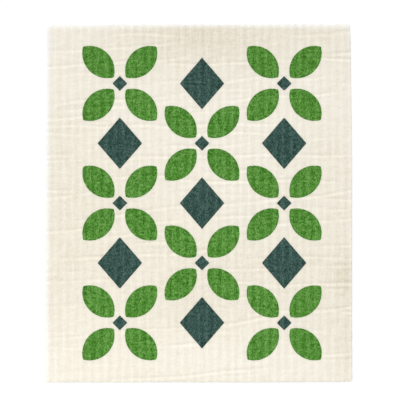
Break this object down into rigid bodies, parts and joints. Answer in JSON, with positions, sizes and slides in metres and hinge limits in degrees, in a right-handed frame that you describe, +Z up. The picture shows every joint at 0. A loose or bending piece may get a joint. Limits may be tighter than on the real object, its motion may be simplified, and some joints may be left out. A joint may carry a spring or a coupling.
{
  "type": "sponge cloth",
  "caption": "Thin ribbed sponge cloth of cellulose and cotton with a petal and diamond print, lying flat, for wiping worktops and washing up.",
  "frame": {"origin": "on the flat of the underside, below the middle of the sheet", "axes": "+X across the ribs, +Y along the ribs and the long sides, +Z up out of the printed face"},
  "size_m": [0.1704, 0.2004, 0.0039],
  "materials": {
    "cellulose_cream": "matt porous cellulose, ribbed, printed in leaf green and dark teal"
  },
  "bodies": {
    "root": {"sponge_cloth": "cellulose_cream"}
  },
  "joints": []
}
